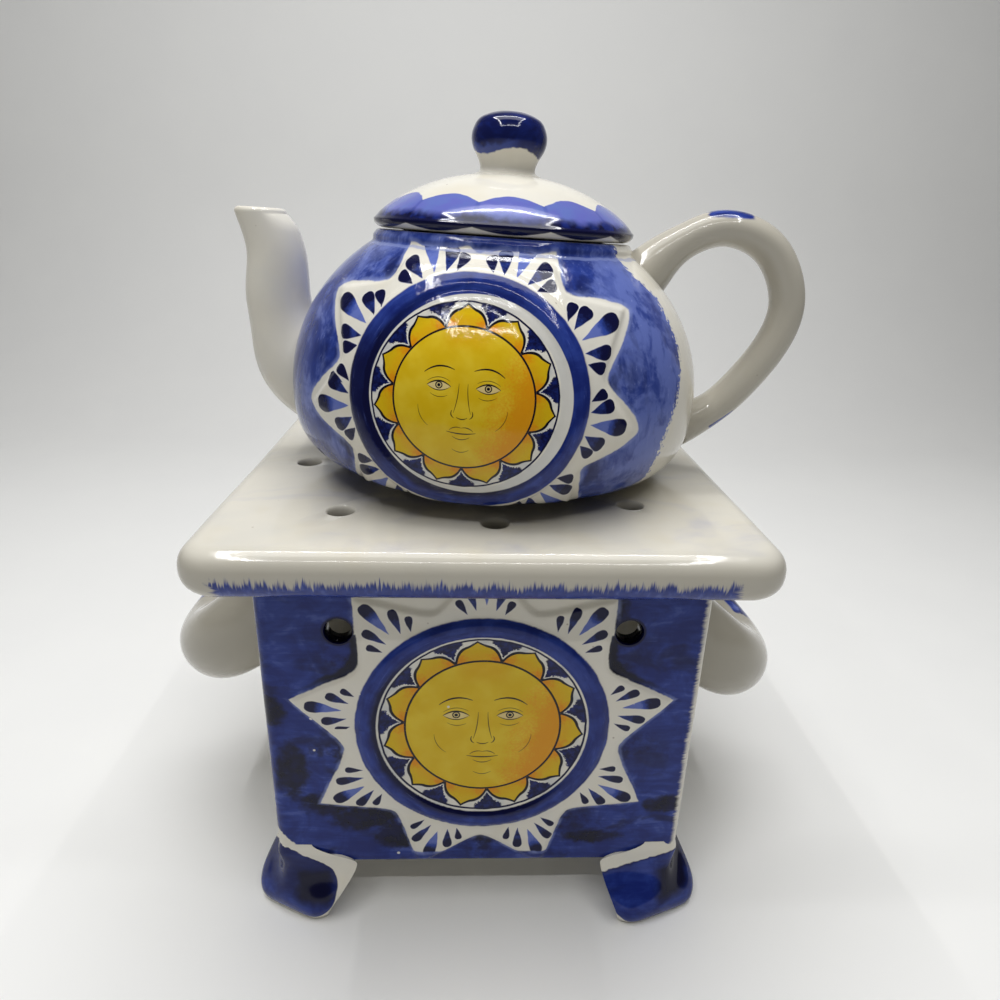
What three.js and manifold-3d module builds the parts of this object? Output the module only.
// Glazed earthenware teapot on its tealight warmer.
// Millimetres, +Z up, painted front towards -Y, spout towards -X, origin under the middle on the floor.
// The warmer is a square box on four splayed feet, with a pierced slab on top and a loop handle on each
// side. A tealight stands inside it, and goes in through an arch in the back wall. The pot is moulded in
// two halves, and stands on the slab a little out of upright and a little turned, as it was fired and as
// it was set down.

import * as THREE from 'three';
import { mergeVertices, toCreasedNormals } from 'three/addons/utils/BufferGeometryUtils.js';
import Module from 'manifold-3d';

const wasm = await Module();
wasm.setup();

// Driving dimensions

// Gap kept wherever one fired piece is seated on another
const SEAT_GAP = 0.3;

// Warmer slab
const SLAB_WIDTH = 150;
const SLAB_THICKNESS = 13;
const SLAB_EDGE_ROUND = 6;
const SLAB_CORNER_ROUND = 10;
const SLAB_VENT_BORE = 7;
const VENT_CORNER_STRETCH = 1.13;

// Warmer box
const BOX_WIDTH = 121.5;
const BOX_HEIGHT = 96;
const BOX_WALL = 4.5;
const BOX_FLOOR = 6;
const BOX_CORNER_ROUND = 3;
const WALL_VENT_BORE = 6.5;
const WALL_VENT_SPREAD = 77.5;
const WALL_VENT_DROP = 15.5;
const ARCH_WIDTH = 66;
const ARCH_HEIGHT = 58;

// Warmer feet
const FOOT_HEIGHT = 19;
const FOOT_LAP = 7;
const FOOT_LAP_PROUD = 0.9;
const FOOT_LAP_REACH = 10;
const FOOT_SPLAY_DEG = 28;
const FOOT_TOE_WIDTH = 22;
const FOOT_TOE_KICK = 1;
const FOOT_TOE_SHIFT = 1.6;
const FOOT_TOP_REACH = 23;
const FOOT_DEPTH = 14;
const FOOT_BULGE = 3;
const FOOT_BULGE_HEIGHT = 9;
const FOOT_EDGE_ROUND = 1.5;
const FOOT_TOE_ROUND = 2.4;

// Warmer side handles
const LOOP_SPAN = 50;
const LOOP_REACH = 41.5;
const LOOP_THICKNESS = 26;
const LEFT_LOOP_DROOP_DEG = 42;
const LEFT_LOOP_ROOT_DROP = 24;
const RIGHT_LOOP_DROOP_DEG = 42;
const RIGHT_LOOP_ROOT_DROP = 30.5;

// Sun medallions: a raised ring in the middle of a raised star
const STAR_RAYS = 9;
const STAR_RAY_POWER = 1.6;
const BOX_RING_DIAMETER = 70;
const BOX_RING_WIDTH = 5;
const BOX_STAR_DIAMETER = 108;
const BOX_STAR_VALLEY_DIAMETER = 79;
const BOX_MEDALLION_HEIGHT = 50;
const POT_RING_DIAMETER = 58;
const POT_RING_WIDTH = 5;
const POT_STAR_DIAMETER = 85;
const POT_STAR_VALLEY_DIAMETER = 66;
const POT_MEDALLION_HEIGHT = 33;
const RING_PROUD = 1.8;
const STAR_PROUD = 0.8;

// Pot
const POT_DIAMETER = 123;
const POT_BELLY_HEIGHT = 25;
const POT_SHOULDER_RISE = 52;
const POT_UNDER_POWER = 2.7;
const POT_FOOT_DIAMETER = 78;
const POT_FOOT_HEIGHT = 3;
const POT_FOOT_WALL = 5;
const POT_WALL = 4;
const COLLAR_DIAMETER = 76;
const COLLAR_HEIGHT = 69;
const COLLAR_BAND = 4;
const COLLAR_EDGE = 1.5;
const MOUTH_DIAMETER = 58;
const POT_OFFSET = 2;
const POT_LEAN_DEG = 2;
const POT_TURN_DEG = -5.5;
const STRAINER_BORE = 4;
const STRAINER_PITCH = 7;

// Spout
const SPOUT_WALL = 2.8;
const SPOUT_TIP_WIDTH = 15.4;
const SPOUT_TIP_HEIGHT = 72.5;
const SPOUT_TIP_REACH = 73;
const SPOUT_NECK_WIDTH = 19.5;
const SPOUT_ROOT_LENGTH = 42;
const SPOUT_ROOT_WIDTH = 30;
const SPOUT_ROOT_SINK = 20;
const SPOUT_ROOT_RISE = 5;
const SPOUT_ELBOW_HEIGHT = 45;
const SPOUT_THROAT_DROP = 12;
const SPOUT_THROAT_SET_BACK = 3;

// Pot handle
const HANDLE_THICKNESS = 10;
const HANDLE_WIDTH = 12.5;
const HANDLE_ROOT_THICKNESS = 17;
const HANDLE_REACH = 90.5;
const HANDLE_TOP = 80.4;
const HANDLE_BOTTOM = 11;
const HANDLE_ROOT_SINK = 29;
const HANDLE_ROOT_DROP = 26;
const HANDLE_SHOULDER_SINK = 11;
const HANDLE_SHOULDER_DROP = 6;
const HANDLE_BEND = 8;
const HANDLE_FALL = 18;

// Lid and knob
const LID_DIAMETER = 75.6;
const LID_RIM_HEIGHT = 3.6;
const LID_SEAT_DROP = 0.6;
const LID_DOME_RISE = 14;
const LID_DOME_POWER = 1.5;
const LID_WALL = 4;
const LID_FLANGE_DEPTH = 8;
const LID_FLANGE_WALL = 3.5;
const LID_FLANGE_CLEARANCE = 1;
const KNOB_DIAMETER = 21.4;
const KNOB_NECK_DIAMETER = 13.8;
const KNOB_SKIRT_DIAMETER = 18.4;
const KNOB_HEIGHT = 15.9;

// Tealight
const TEALIGHT_DIAMETER = 38;
const TEALIGHT_HEIGHT = 16;
const TEALIGHT_FOIL = 0.5;
const TEALIGHT_BEND = 0.7;
const WAX_DIAMETER_CLEARANCE = 0.3;
const WAX_HEIGHT = 12;
const WICK_DIAMETER = 1.6;
const WICK_SHOWING = 6;
const WICK_TAB_DIAMETER = 14;
const WICK_TAB_THICKNESS = 0.5;
const WICK_COLLAR_DIAMETER = 4;
const WICK_COLLAR_HEIGHT = 3;

// Heights that follow
const SLAB_BOTTOM = FOOT_HEIGHT + BOX_HEIGHT + SEAT_GAP;
const SLAB_TOP = SLAB_BOTTOM + SLAB_THICKNESS;
const FLOOR_TOP = FOOT_HEIGHT + BOX_FLOOR;
const POT_LEAN = THREE.MathUtils.degToRad(POT_LEAN_DEG);
const POT_TURN = THREE.MathUtils.degToRad(POT_TURN_DEG);

// Faces that meet at less than this angle share a smooth normal
const CREASE_ANGLE = 0.6;

// Glazes and metals
const whiteGlaze = { color: 0xe6e3da, roughness: 0.16, metalness: 0 };
const blueGlaze = { color: 0x2b3d8c, roughness: 0.16, metalness: 0 };
const foil = { color: 0xc9cbce, roughness: 0.35, metalness: 0.9 };
const wax = { color: 0xf2efe6, roughness: 0.5, metalness: 0 };
const cotton = { color: 0xe9e4d4, roughness: 0.9, metalness: 0 };

// Solids

// A closed geometry as a solid: shared corners merged, and its faces turned outwards
function solidOf(geometry) {
  const shell = geometry.index ? geometry.toNonIndexed() : geometry.clone();
  shell.deleteAttribute('normal');
  shell.deleteAttribute('uv');
  const merged = mergeVertices(shell, 1e-4);
  const vertProperties = new Float32Array(merged.attributes.position.array);
  const corners = Array.from(merged.index.array);
  const triVerts = [];
  for (let i = 0; i < corners.length; i += 3) {
    const [a, b, c] = corners.slice(i, i + 3);
    if (a !== b && b !== c && c !== a) triVerts.push(a, b, c);
  }
  const solid = manifoldOf(vertProperties, triVerts);
  if (solid.volume() > 0) return solid;
  for (let i = 0; i < triVerts.length; i += 3) {
    [triVerts[i], triVerts[i + 1]] = [triVerts[i + 1], triVerts[i]];
  }
  return manifoldOf(vertProperties, triVerts);
}

function manifoldOf(vertProperties, triVerts) {
  return new wasm.Manifold(new wasm.Mesh({
    numProp: 3,
    vertProperties,
    triVerts: new Uint32Array(triVerts),
  }));
}

function geometryOf(solid) {
  const result = solid.getMesh();
  const geometry = new THREE.BufferGeometry();
  geometry.setAttribute('position', new THREE.Float32BufferAttribute(result.vertProperties, 3));
  geometry.setIndex(Array.from(result.triVerts));
  return toCreasedNormals(geometry, CREASE_ANGLE);
}

function piece(name, solid, finish) {
  const mesh = new THREE.Mesh(geometryOf(solid), new THREE.MeshStandardMaterial(finish));
  mesh.name = name;
  return mesh;
}

// A profile of [radius, height] points turned round the Z axis
function turned(profile, segments) {
  const points = profile.map(([radius, height]) => new THREE.Vector2(Math.max(radius, 0), height));
  return solidOf(new THREE.LatheGeometry(points, segments).rotateX(Math.PI / 2));
}

// A straight hole or pin of round section, from one point to another
function rod(from, to, diameter, segments = 16) {
  const along = new THREE.Vector3().subVectors(to, from);
  const shape = new THREE.CylinderGeometry(diameter / 2, diameter / 2, along.length(), segments);
  const turn = new THREE.Quaternion().setFromUnitVectors(
    new THREE.Vector3(0, 1, 0), along.clone().normalize());
  const middle = new THREE.Vector3().addVectors(from, to).multiplyScalar(0.5);
  return solidOf(shape.applyQuaternion(turn).translate(middle.x, middle.y, middle.z));
}

// A flat outline pushed up along Z from one height to another
function prism(outline, bottom, top, curveSegments = 6) {
  const options = { depth: top - bottom, bevelEnabled: false, curveSegments };
  return solidOf(new THREE.ExtrudeGeometry(outline, options).translate(0, 0, bottom));
}

// A flat outline, drawn in X and Z as seen from the front, pushed from one Y to another
function frontPrism(outline, nearY, farY, curveSegments = 6) {
  const options = { depth: farY - nearY, bevelEnabled: false, curveSegments };
  return solidOf(new THREE.ExtrudeGeometry(outline, options).rotateX(Math.PI / 2).translate(0, farY, 0));
}

// A row of rings with the same number of points each, skinned into one closed body
function skin(rings) {
  const sides = rings[0].length;
  const positions = rings.flat().flatMap((point) => [point.x, point.y, point.z]);
  const faces = [];
  for (let i = 0; i < rings.length - 1; i += 1) {
    for (let j = 0; j < sides; j += 1) {
      const a = i * sides + j;
      const b = i * sides + (j + 1) % sides;
      faces.push(a, b, b + sides, a, b + sides, a + sides);
    }
  }
  for (const [start, flip] of [[0, true], [(rings.length - 1) * sides, false]]) {
    const middle = new THREE.Vector3();
    for (let j = 0; j < sides; j += 1) {
      middle.x += positions[3 * (start + j)] / sides;
      middle.y += positions[3 * (start + j) + 1] / sides;
      middle.z += positions[3 * (start + j) + 2] / sides;
    }
    const centre = positions.length / 3;
    positions.push(middle.x, middle.y, middle.z);
    for (let j = 0; j < sides; j += 1) {
      const a = start + j;
      const b = start + (j + 1) % sides;
      faces.push(...(flip ? [centre, b, a] : [centre, a, b]));
    }
  }
  const geometry = new THREE.BufferGeometry();
  geometry.setAttribute('position', new THREE.Float32BufferAttribute(positions, 3));
  geometry.setIndex(faces);
  return solidOf(geometry);
}

// An oval tube along a curve that lies in one plane. halfSizes gives the oval's half thickness in that
// plane and its half width across it, for each share of the curve from 0 to 1.
function ovalTube(curve, across, halfSizes, sides, steps) {
  const rings = [];
  for (let i = 0; i <= steps; i += 1) {
    const share = i / steps;
    const middle = curve.getPointAt(share);
    const inPlane = new THREE.Vector3().crossVectors(across, curve.getTangentAt(share)).normalize();
    const [thickness, width] = halfSizes(share);
    rings.push(Array.from({ length: sides }, (_, j) => {
      const angle = (2 * Math.PI * j) / sides;
      return middle.clone()
        .addScaledVector(inPlane, thickness * Math.cos(angle))
        .addScaledVector(across, width * Math.sin(angle));
    }));
  }
  return skin(rings);
}

function roundedSquare(width, round) {
  const half = width / 2;
  const inner = half - round;
  const shape = new THREE.Shape();
  shape.absarc(inner, inner, round, 0, Math.PI / 2);
  shape.absarc(-inner, inner, round, Math.PI / 2, Math.PI);
  shape.absarc(-inner, -inner, round, Math.PI, 1.5 * Math.PI);
  shape.absarc(inner, -inner, round, 1.5 * Math.PI, 2 * Math.PI);
  return shape;
}

function circle(diameter) {
  return new THREE.Shape().absarc(0, 0, diameter / 2, 0, 2 * Math.PI);
}

const mix = THREE.MathUtils.lerp;
const ease = THREE.MathUtils.smoothstep;

// Star with hollow-sided rays: the outline swings from tip to valley and back once a ray, and a power
// above one draws the tips out
function starOutline(tipDiameter, valleyDiameter, firstRay) {
  const stepsPerRay = 8;
  const points = [];
  for (let i = 0; i < STAR_RAYS * stepsPerRay; i += 1) {
    const share = (i % stepsPerRay) / stepsPerRay;
    const nearTip = Math.abs(2 * share - 1);
    const radius = mix(valleyDiameter / 2, tipDiameter / 2, nearTip ** STAR_RAY_POWER);
    const angle = firstRay + (2 * Math.PI * i) / (STAR_RAYS * stepsPerRay);
    points.push(new THREE.Vector2(radius * Math.cos(angle), radius * Math.sin(angle)));
  }
  return new THREE.Shape(points);
}

function ringOutline(diameter, width) {
  const outline = circle(diameter);
  outline.holes.push(new THREE.Path().absarc(0, 0, diameter / 2 - width, 0, 2 * Math.PI, true));
  return outline;
}

// Warmer

// Slab with rounded edges, pierced by eight vents in a rounded square, all inside the box's walls
function warmerTop() {
  const core = roundedSquare(SLAB_WIDTH - 2 * SLAB_EDGE_ROUND, SLAB_CORNER_ROUND - SLAB_EDGE_ROUND);
  const geometry = new THREE.ExtrudeGeometry(core, {
    depth: SLAB_THICKNESS - 2 * SLAB_EDGE_ROUND,
    bevelSize: SLAB_EDGE_ROUND,
    bevelThickness: SLAB_EDGE_ROUND,
    bevelSegments: 5,
    curveSegments: 4,
  });
  let slab = solidOf(geometry.translate(0, 0, SLAB_BOTTOM + SLAB_EDGE_ROUND));
  for (const { x, y } of slabVents()) {
    const below = new THREE.Vector3(x, y, SLAB_BOTTOM - 1);
    const above = new THREE.Vector3(x, y, SLAB_TOP + 1);
    slab = slab.subtract(rod(below, above, SLAB_VENT_BORE, 14));
  }
  return slab;
}

function slabVents() {
  const sideReach = BOX_WIDTH / 2 - BOX_WALL - SLAB_VENT_BORE / 2 - SEAT_GAP;
  const cornerReach = VENT_CORNER_STRETCH * sideReach;
  return Array.from({ length: 8 }, (_, i) => {
    const reach = i % 2 ? cornerReach : sideReach;
    const angle = (i * Math.PI) / 4;
    return { x: reach * Math.cos(angle), y: reach * Math.sin(angle) };
  });
}

function boxOutside(growth = 0) {
  const outline = roundedSquare(BOX_WIDTH + 2 * growth, BOX_CORNER_ROUND + growth);
  return prism(outline, FOOT_HEIGHT - growth, FOOT_HEIGHT + BOX_HEIGHT, 3);
}

// Square box with a floor, open under the slab, with the sun medallion raised on the front
function warmerBox() {
  const inner = roundedSquare(BOX_WIDTH - 2 * BOX_WALL, BOX_CORNER_ROUND);
  let box = boxOutside().subtract(prism(inner, FLOOR_TOP, FOOT_HEIGHT + BOX_HEIGHT + 1, 3));
  box = box.subtract(tealightArch());
  const front = -BOX_WIDTH / 2;
  const middle = FOOT_HEIGHT + BOX_MEDALLION_HEIGHT;
  const star = frontPrism(starOutline(BOX_STAR_DIAMETER, BOX_STAR_VALLEY_DIAMETER, Math.PI / 2),
    front - STAR_PROUD, front + STAR_PROUD).translate([0, 0, middle]);
  const belowSlab = prism(roundedSquare(2 * BOX_WIDTH, 1), FOOT_HEIGHT + STAR_PROUD,
    FOOT_HEIGHT + BOX_HEIGHT - STAR_PROUD);
  const ring = frontPrism(ringOutline(BOX_RING_DIAMETER, BOX_RING_WIDTH), front - RING_PROUD,
    front + RING_PROUD, 24).translate([0, 0, middle]);
  box = box.add(star.intersect(belowSlab)).add(ring);
  for (const side of [-1, 1]) {
    const x = (side * WALL_VENT_SPREAD) / 2;
    const z = SLAB_BOTTOM - WALL_VENT_DROP;
    const outside = new THREE.Vector3(x, front - RING_PROUD - 1, z);
    const inside = new THREE.Vector3(x, front + BOX_WALL + 1, z);
    box = box.subtract(rod(outside, inside, WALL_VENT_BORE, 14));
  }
  return box;
}

// Round-headed opening in the back wall, with its sill level with the box's floor
function tealightArch() {
  const half = ARCH_WIDTH / 2;
  const shape = new THREE.Shape();
  shape.moveTo(-half, 0);
  shape.lineTo(half, 0);
  shape.lineTo(half, ARCH_HEIGHT - half);
  shape.absarc(0, ARCH_HEIGHT - half, half, 0, Math.PI);
  shape.closePath();
  return frontPrism(shape, BOX_WIDTH / 2 - BOX_WALL - 1, BOX_WIDTH / 2 + 1, 8)
    .translate([0, 0, FLOOR_TOP]);
}

// Foot turned outwards under a corner. Its sections start as a blunt toe on the floor and pass into the
// corner's own right angle, where a thin lip laps the walls. The front swells out in between, and the
// back narrows to a heel.
function warmerFoot(sideX, sideY) {
  const splay = THREE.MathUtils.degToRad(FOOT_SPLAY_DEG);
  const corner = new THREE.Vector2(BOX_WIDTH / 2, BOX_WIDTH / 2);
  const out = new THREE.Vector2(Math.sin(splay), Math.cos(splay));
  const along = new THREE.Vector2(Math.cos(splay), -Math.sin(splay));
  const toeHalf = FOOT_TOE_WIDTH / 2;
  const top = FOOT_HEIGHT + FOOT_LAP;
  const shares = [0, FOOT_EDGE_ROUND / top, 0.18, 0.34, 0.48, 0.62, FOOT_HEIGHT / top, 0.86, 1];
  const fromToe = (forward, sideways) => corner.clone()
    .addScaledVector(out, FOOT_TOE_KICK + forward)
    .addScaledVector(along, FOOT_TOE_SHIFT + sideways);
  const rings = shares.map((share) => {
    const height = share * top;
    const inset = height === 0 ? FOOT_EDGE_ROUND : 0;
    const swell = Math.sin(Math.PI * Math.min(height / (2 * FOOT_BULGE_HEIGHT), 1));
    const reach = mix(FOOT_TOP_REACH, FOOT_LAP_REACH, ease(height, FOOT_HEIGHT, top));
    const front = [-1, -0.88, -0.55, -0.2, 0.2, 0.55, 0.88, 1].map((side) => {
      const forward = FOOT_BULGE * swell - FOOT_TOE_ROUND * side ** 6 - inset;
      const toe = fromToe(forward, side * (toeHalf + swell - inset));
      const lip = side < 0
        ? new THREE.Vector2(side * reach, FOOT_LAP_PROUD)
        : new THREE.Vector2(FOOT_LAP_PROUD, -side * reach);
      const rise = ease(height / mix(FOOT_HEIGHT, top, (side + 1) / 2), 0, 1.05);
      return toe.lerp(lip.add(corner), rise);
    });
    const rise = ease(height, 0, FOOT_HEIGHT);
    const back = [
      [-0.55, 0.8, -0.17, -0.8],
      [-1, 0.15, -0.55, -0.55],
      [-0.75, -0.3, -0.68, -0.4],
      [-0.36, -0.58, -0.84, -0.17],
    ].map(([forward, sideways, x, y]) => fromToe(FOOT_DEPTH * forward, (toeHalf - inset) * sideways)
      .lerp(new THREE.Vector2(x, y).multiplyScalar(FOOT_TOP_REACH).add(corner), rise));
    return [...front, ...back].map(({ x, y }) => new THREE.Vector3(sideX * x, sideY * y, height));
  });
  return skin(rings).subtract(boxOutside(SEAT_GAP));
}

// Thick loop drooping from one side wall: it leaves the wall twice, and bows out in between
function sideLoop(side, droopDegrees, rootDrop) {
  const droop = THREE.MathUtils.degToRad(droopDegrees);
  const outward = new THREE.Vector3(side * Math.cos(droop), 0, -Math.sin(droop));
  const root = new THREE.Vector3(side * (BOX_WIDTH / 2), 0, SLAB_BOTTOM - rootDrop);
  const half = LOOP_THICKNESS / 2;
  const points = [];
  const bend = 8;
  for (let i = -1; i <= bend + 1; i += 1) {
    const angle = (Math.PI * Math.min(Math.max(i, 0), bend)) / bend;
    const buried = i < 0 || i > bend ? half : 0;
    points.push(root.clone()
      .add(new THREE.Vector3(0, -(LOOP_SPAN / 2) * Math.cos(angle), 0))
      .addScaledVector(outward, LOOP_REACH * Math.sin(angle) ** 0.8 - buried));
  }
  const across = new THREE.Vector3(0, 1, 0).cross(outward).normalize();
  const loop = ovalTube(new THREE.CatmullRomCurve3(points), across, () => [half, half], 12, 20);
  return loop.subtract(boxOutside(SEAT_GAP));
}

// Pot

// The pot leans towards its handle and is turned a little on the slab
const teapot = new THREE.Group();
teapot.position.set(POT_OFFSET, 0, SLAB_TOP + SEAT_GAP);
teapot.rotation.set(0, POT_LEAN, POT_TURN, 'YZX');
teapot.updateMatrixWorld(true);

// Half-section of the belly: two quarter ovals that meet at the widest height
function bellyRadius(height, growth) {
  const radius = POT_DIAMETER / 2 + growth;
  if (height > POT_BELLY_HEIGHT) {
    const share = (height - POT_BELLY_HEIGHT) / (POT_SHOULDER_RISE + growth);
    return radius * Math.sqrt(Math.max(1 - share ** 2, 0));
  }
  const share = (POT_BELLY_HEIGHT - height) / (POT_BELLY_HEIGHT - POT_FOOT_HEIGHT + growth);
  const foot = POT_FOOT_DIAMETER / 2;
  return foot + (radius - foot) * (1 - share ** POT_UNDER_POWER) ** (1 / POT_UNDER_POWER);
}

function bellyProfile(bottom, top, steps, growth) {
  return Array.from({ length: steps + 1 }, (_, i) => {
    const share = 0.5 - 0.5 * Math.cos((Math.PI * i) / steps);
    const height = mix(bottom, top, share);
    return [bellyRadius(height, growth), height];
  });
}

// Solid pot without its hollow; growth swells it evenly for the relief and for clearances
function potOutside(growth = 0) {
  const foot = POT_FOOT_DIAMETER / 2 + growth;
  const collar = COLLAR_DIAMETER / 2 + growth;
  const belly = bellyProfile(POT_FOOT_HEIGHT - growth, COLLAR_HEIGHT - COLLAR_BAND, 12, growth);
  return turned([
    [0, -2],
    [foot, -2],
    ...belly.slice(0, -1),
    [Math.max(bellyRadius(COLLAR_HEIGHT - COLLAR_BAND, growth), collar), COLLAR_HEIGHT - COLLAR_BAND],
    [collar, COLLAR_HEIGHT - COLLAR_BAND + 1],
    [collar, COLLAR_HEIGHT - COLLAR_EDGE],
    [collar - COLLAR_EDGE, COLLAR_HEIGHT],
    [0, COLLAR_HEIGHT],
  ], 44);
}

function teapotBody() {
  const mouth = MOUTH_DIAMETER / 2;
  const hollow = turned([
    [0, POT_FOOT_HEIGHT + POT_WALL],
    ...bellyProfile(POT_FOOT_HEIGHT + POT_WALL, COLLAR_HEIGHT - COLLAR_BAND - 2, 9, -POT_WALL),
    [mouth, COLLAR_HEIGHT - COLLAR_BAND],
    [mouth, COLLAR_HEIGHT + 1],
    [0, COLLAR_HEIGHT + 1],
  ], 36);
  const footHollow = turned([
    [0, -3],
    [POT_FOOT_DIAMETER / 2 - POT_FOOT_WALL, -3],
    [POT_FOOT_DIAMETER / 2 - POT_FOOT_WALL - 1, POT_FOOT_HEIGHT - 0.5],
    [0, POT_FOOT_HEIGHT],
  ], 28);
  let body = potOutside();
  for (const facing of [0, Math.PI]) {
    const turnRound = [0, 0, THREE.MathUtils.radToDeg(facing)];
    const star = starOutline(POT_STAR_DIAMETER, POT_STAR_VALLEY_DIAMETER, -Math.PI / 2);
    const ring = ringOutline(POT_RING_DIAMETER, POT_RING_WIDTH);
    for (const [outline, proud] of [[star, STAR_PROUD], [ring, RING_PROUD]]) {
      const stamp = frontPrism(outline, -POT_DIAMETER, -POT_DIAMETER / 6, 16)
        .translate([0, 0, POT_MEDALLION_HEIGHT]);
      body = body.add(potOutside(proud).intersect(stamp.rotate(turnRound)));
    }
  }
  body = body.subtract(hollow).subtract(footHollow);
  for (const hole of strainerHoles()) body = body.subtract(hole);
  return body.subtract(ground());
}

// The pot as it is moulded: a front and a back half that meet in an upright seam from spout to handle
function teapotHalf(body, facing) {
  const seam = SEAT_GAP / 2;
  const block = new THREE.BoxGeometry(2 * POT_DIAMETER, POT_DIAMETER, 2 * POT_DIAMETER);
  block.translate(0, -POT_DIAMETER / 2 - seam, 0).rotateZ(facing);
  return body.intersect(solidOf(block));
}

// One strainer hole in the middle and six round it, through the wall behind the spout
function strainerHoles() {
  const offsets = [[0, 0]];
  for (let i = 0; i < 6; i += 1) {
    const angle = (i * Math.PI) / 3;
    offsets.push([STRAINER_PITCH * Math.cos(angle), STRAINER_PITCH * Math.sin(angle)]);
  }
  return offsets.map(([y, z]) => {
    const height = POT_BELLY_HEIGHT + z;
    const inside = new THREE.Vector3(-POT_DIAMETER / 2 + 3 * POT_WALL, y, height);
    const outside = new THREE.Vector3(-POT_DIAMETER / 2 - POT_WALL, y, height);
    return rod(inside, outside, STRAINER_BORE, 10);
  });
}

// Everything under the slab's face, seen from the leaning pot: the foot is ground level with it
function ground() {
  const depth = 20;
  const block = new THREE.BoxGeometry(SLAB_WIDTH, SLAB_WIDTH, depth);
  block.translate(0, 0, SLAB_TOP + SEAT_GAP - depth / 2);
  return solidOf(block.applyMatrix4(teapot.matrixWorld.clone().invert()));
}

// Spout: wide at the belly, drawn in to an upright neck, and cut level at the tip
function spoutCurve() {
  const belly = POT_DIAMETER / 2;
  const root = POT_BELLY_HEIGHT - 0.2 * SPOUT_ROOT_RISE;
  return new THREE.CatmullRomCurve3([
    new THREE.Vector3(SPOUT_ROOT_SINK - belly, 0, root),
    new THREE.Vector3(0.05 * SPOUT_ROOT_SINK - belly, 0, root + SPOUT_ROOT_RISE),
    new THREE.Vector3(mix(-belly, -SPOUT_TIP_REACH, 0.6), 0, SPOUT_ELBOW_HEIGHT),
    new THREE.Vector3(SPOUT_THROAT_SET_BACK - SPOUT_TIP_REACH, 0, SPOUT_TIP_HEIGHT - SPOUT_THROAT_DROP),
    new THREE.Vector3(-SPOUT_TIP_REACH - 0.5, 0, SPOUT_TIP_HEIGHT + 2),
  ]);
}

function teapotSpout() {
  const across = new THREE.Vector3(0, 1, 0);
  const halfSizes = (inset) => (share) => {
    const gather = ease(share, 0, 0.55);
    const draw = ease(share, 0.55, 1);
    const thickness = mix(mix(SPOUT_ROOT_LENGTH, SPOUT_NECK_WIDTH, gather), SPOUT_TIP_WIDTH, draw);
    const width = mix(mix(SPOUT_ROOT_WIDTH, SPOUT_NECK_WIDTH, gather), SPOUT_TIP_WIDTH, draw);
    return [thickness / 2 - inset, width / 2 - inset];
  };
  const curve = spoutCurve();
  const wide = 4 * SPOUT_TIP_WIDTH;
  const level = new THREE.BoxGeometry(wide, wide, SPOUT_TIP_WIDTH);
  level.translate(-SPOUT_TIP_REACH, 0, SPOUT_TIP_HEIGHT + SPOUT_TIP_WIDTH / 2);
  return ovalTube(curve, across, halfSizes(0), 16, 14)
    .subtract(ovalTube(curve, across, halfSizes(SPOUT_WALL), 12, 14))
    .subtract(solidOf(level))
    .subtract(potOutside(SEAT_GAP));
}

// Ear-shaped pot handle, swelling into its two roots on the body
function teapotHandle() {
  const belly = POT_DIAMETER / 2;
  const half = HANDLE_THICKNESS / 2;
  const top = HANDLE_TOP - half;
  const reach = HANDLE_REACH - half;
  const curve = new THREE.CatmullRomCurve3([
    new THREE.Vector3(belly - HANDLE_ROOT_SINK, 0, top - HANDLE_ROOT_DROP),
    new THREE.Vector3(belly - mix(HANDLE_ROOT_SINK, HANDLE_SHOULDER_SINK, 0.5), 0,
      top - mix(HANDLE_ROOT_DROP, HANDLE_SHOULDER_DROP, 0.525)),
    new THREE.Vector3(belly - HANDLE_SHOULDER_SINK, 0, top - HANDLE_SHOULDER_DROP),
    new THREE.Vector3(mix(belly, reach, 0.083), 0, top),
    new THREE.Vector3(reach - HANDLE_BEND, 0, top - HANDLE_FALL / 4),
    new THREE.Vector3(reach, 0, top - HANDLE_FALL),
    new THREE.Vector3(reach - HANDLE_BEND / 4, 0, top - 1.78 * HANDLE_FALL),
    new THREE.Vector3(mix(belly, reach, 0.45), 0, HANDLE_BOTTOM + 1.5 * HANDLE_THICKNESS),
    new THREE.Vector3(belly, 0, HANDLE_BOTTOM + 0.65 * HANDLE_THICKNESS),
    new THREE.Vector3(belly - 1.2 * HANDLE_THICKNESS, 0, HANDLE_BOTTOM + 0.1 * HANDLE_THICKNESS),
  ]);
  const halfSizes = (share) => {
    const root = Math.max(1 - ease(share, 0.08, 0.3), 0.5 * ease(share, 0.82, 0.96));
    return [
      mix(HANDLE_THICKNESS, HANDLE_ROOT_THICKNESS, root) / 2,
      mix(HANDLE_WIDTH, HANDLE_ROOT_THICKNESS, root) / 2,
    ];
  };
  return ovalTube(curve, new THREE.Vector3(0, 1, 0), halfSizes, 14, 26)
    .subtract(potOutside(SEAT_GAP));
}

// Lid

// Height of the dome's outside over its rim line at a distance from the middle
function domeHeight(radius) {
  const share = Math.min(radius / (LID_DIAMETER / 2), 1);
  return LID_DOME_RISE * (1 - share ** LID_DOME_POWER) ** (1 / LID_DOME_POWER);
}

function domeProfile(diameter, drop, steps) {
  return Array.from({ length: steps + 1 }, (_, i) => {
    const radius = (diameter / 2) * Math.cos((Math.PI * i) / (2 * steps));
    return [radius, domeHeight(radius) - drop];
  });
}

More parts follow.
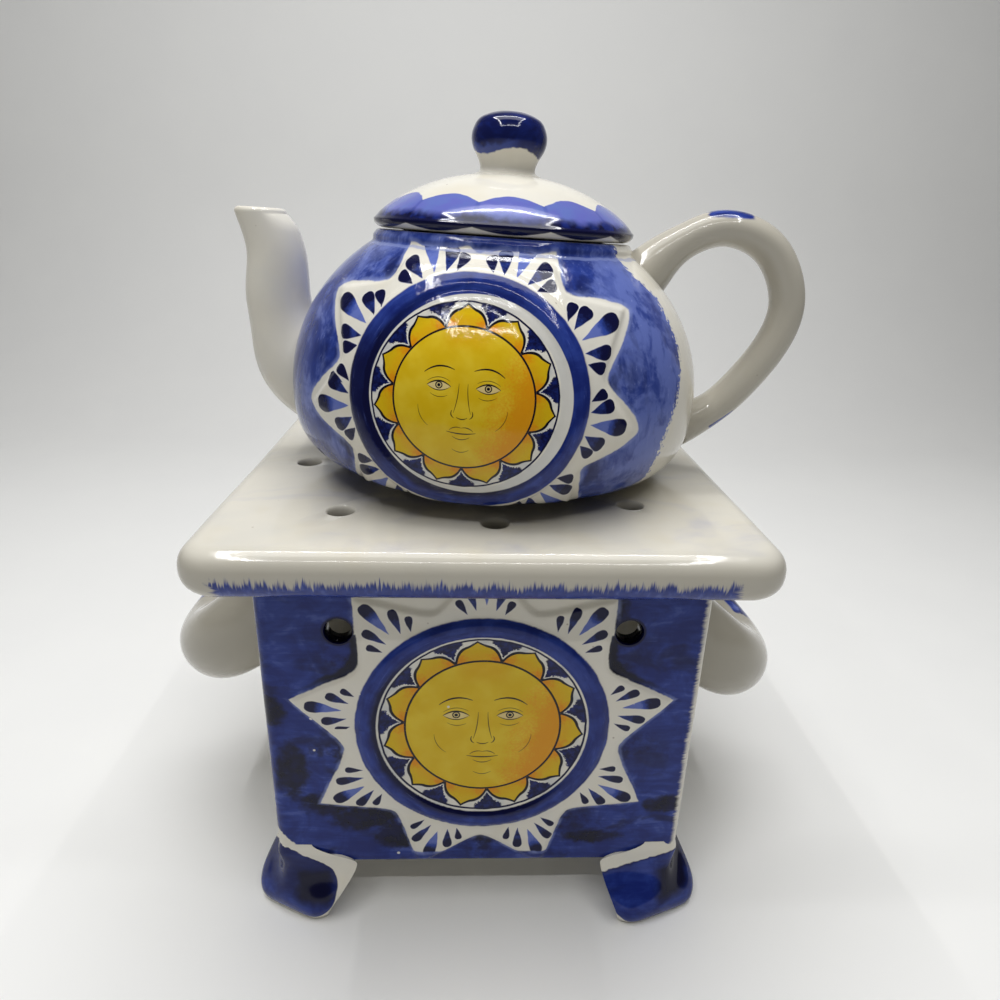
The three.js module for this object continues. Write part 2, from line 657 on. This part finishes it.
// Dome with a thick rounded rim, and a flange under it that drops into the mouth. Heights here are
// over the rim line, the level of the lid's widest edge.
function lidDome() {
  const rim = LID_DIAMETER / 2;
  const flange = MOUTH_DIAMETER / 2 - LID_FLANGE_CLEARANCE;
  const seat = -LID_RIM_HEIGHT / 2 - LID_SEAT_DROP;
  const hollow = 2 * (flange - LID_FLANGE_WALL);
  const underside = domeProfile(hollow, LID_WALL, 5);
  return turned([
    ...underside.slice().reverse(),
    [flange - LID_FLANGE_WALL, seat - LID_FLANGE_DEPTH + 1],
    [flange - LID_FLANGE_WALL + 1, seat - LID_FLANGE_DEPTH],
    [flange - 1, seat - LID_FLANGE_DEPTH],
    [flange, seat - LID_FLANGE_DEPTH + 1],
    [flange, seat],
    [rim - 5.5, seat],
    [rim - 1.4, -LID_RIM_HEIGHT / 2 + 0.5],
    [rim - 0.3, -LID_RIM_HEIGHT / 4],
    ...domeProfile(LID_DIAMETER, 0, 10),
  ], 44);
}

// Mushroom knob on a flared skirt, seated on the dome
function lidKnob() {
  const skirt = KNOB_SKIRT_DIAMETER / 2;
  const neck = KNOB_NECK_DIAMETER / 2;
  const head = KNOB_DIAMETER / 2;
  const foot = domeHeight(skirt) - 2;
  const profile = [[0, foot], [skirt, foot]];
  const curve = new THREE.SplineCurve([
    new THREE.Vector2(skirt, domeHeight(skirt) + 0.5),
    new THREE.Vector2(neck + 0.6, domeHeight(skirt) + 2.2),
    new THREE.Vector2(neck, domeHeight(skirt) + 3.8),
    new THREE.Vector2(mix(neck, head, 0.75), KNOB_HEIGHT + LID_DOME_RISE - 11),
    new THREE.Vector2(head, KNOB_HEIGHT + LID_DOME_RISE - 7),
    new THREE.Vector2(mix(head, 0, 0.16), KNOB_HEIGHT + LID_DOME_RISE - 2.4),
    new THREE.Vector2(0.45 * head, KNOB_HEIGHT + LID_DOME_RISE - 0.5),
    new THREE.Vector2(0, KNOB_HEIGHT + LID_DOME_RISE),
  ]);
  for (const point of curve.getPoints(12)) profile.push([point.x, point.y]);
  const dome = turned([[0, -5], [LID_DIAMETER / 2, -5],
    ...domeProfile(LID_DIAMETER, -SEAT_GAP, 10)], 48);
  return turned(profile, 24).subtract(dome);
}

// Tealight

function tealightCup() {
  const outer = TEALIGHT_DIAMETER / 2;
  const bottom = FLOOR_TOP + SEAT_GAP;
  return turned([
    [0, bottom],
    [outer - TEALIGHT_BEND, bottom],
    [outer, bottom + TEALIGHT_BEND],
    [outer, bottom + TEALIGHT_HEIGHT],
    [outer - TEALIGHT_FOIL, bottom + TEALIGHT_HEIGHT],
    [outer - TEALIGHT_FOIL, bottom + TEALIGHT_FOIL + TEALIGHT_BEND],
    [outer - TEALIGHT_FOIL - TEALIGHT_BEND, bottom + TEALIGHT_FOIL],
    [0, bottom + TEALIGHT_FOIL],
  ], 32);
}

const TAB_BOTTOM = FLOOR_TOP + 2 * SEAT_GAP + TEALIGHT_FOIL;

function wickTab(growth = 0) {
  const plate = WICK_TAB_DIAMETER / 2 + growth;
  const collar = WICK_COLLAR_DIAMETER / 2 + growth;
  const under = TAB_BOTTOM - growth;
  const bore = growth ? 0 : WICK_DIAMETER / 2 + SEAT_GAP;
  const top = TAB_BOTTOM + WICK_COLLAR_HEIGHT + growth;
  const profile = [
    [bore, under],
    [plate, under],
    [plate, TAB_BOTTOM + WICK_TAB_THICKNESS + growth],
    [collar, TAB_BOTTOM + WICK_TAB_THICKNESS + growth],
    [collar, top],
    [bore, top],
  ];
  if (bore) profile.push([bore, under]);
  return turned(profile, 18);
}

function tealightWax() {
  const radius = TEALIGHT_DIAMETER / 2 - TEALIGHT_FOIL - WAX_DIAMETER_CLEARANCE;
  const bottom = TAB_BOTTOM;
  const top = bottom + WAX_HEIGHT;
  const puck = turned([
    [0, bottom],
    [radius - TEALIGHT_BEND, bottom],
    [radius, bottom + TEALIGHT_BEND],
    [radius, top],
    [radius - 1.5, top - 0.5],
    [0, top - 0.5],
  ], 32);
  const wickHole = turned([[0, bottom], [WICK_DIAMETER / 2 + SEAT_GAP, bottom],
    [WICK_DIAMETER / 2 + SEAT_GAP, top + 1], [0, top + 1]], 12);
  return puck.subtract(wickTab(SEAT_GAP)).subtract(wickHole);
}

function tealightWick() {
  const bottom = TAB_BOTTOM + SEAT_GAP;
  const top = TAB_BOTTOM + WAX_HEIGHT + WICK_SHOWING;
  return rod(new THREE.Vector3(0, 0, bottom), new THREE.Vector3(0, 0, top), WICK_DIAMETER, 10);
}

// Assembly

const assembly = new THREE.Group();

assembly.add(piece('warmer_box', warmerBox(), blueGlaze));
assembly.add(piece('warmer_top', warmerTop(), whiteGlaze));
for (const [name, x, y] of [
  ['foot_front_left', -1, -1], ['foot_front_right', 1, -1],
  ['foot_back_left', -1, 1], ['foot_back_right', 1, 1],
]) {
  assembly.add(piece(name, warmerFoot(x, y), blueGlaze));
}
const leftLoop = sideLoop(-1, LEFT_LOOP_DROOP_DEG, LEFT_LOOP_ROOT_DROP);
const rightLoop = sideLoop(1, RIGHT_LOOP_DROOP_DEG, RIGHT_LOOP_ROOT_DROP);
assembly.add(piece('side_handle_left', leftLoop, whiteGlaze));
assembly.add(piece('side_handle_right', rightLoop, whiteGlaze));

assembly.add(piece('tealight_cup', tealightCup(), foil));
assembly.add(piece('tealight_wax', tealightWax(), wax));
assembly.add(piece('tealight_wick', tealightWick(), cotton));
assembly.add(piece('tealight_wick_tab', wickTab(), foil));

assembly.add(teapot);
const body = teapotBody();
teapot.add(piece('teapot_body_front', teapotHalf(body, 0), blueGlaze));
teapot.add(piece('teapot_body_back', teapotHalf(body, Math.PI), blueGlaze));
teapot.add(piece('teapot_spout', teapotSpout(), whiteGlaze));
teapot.add(piece('teapot_handle', teapotHandle(), whiteGlaze));

// The lid's seat lies a gap above the collar
const lid = new THREE.Group();
lid.position.z = COLLAR_HEIGHT + LID_RIM_HEIGHT / 2 + LID_SEAT_DROP + SEAT_GAP;
teapot.add(lid);
lid.add(piece('lid', lidDome(), blueGlaze));
lid.add(piece('lid_knob', lidKnob(), blueGlaze));

// The origin goes under the middle of the whole, on the floor
const bounds = new THREE.Box3().setFromObject(assembly);
const middle = bounds.getCenter(new THREE.Vector3());
assembly.position.set(-middle.x, -middle.y, -bounds.min.z);

export default assembly;
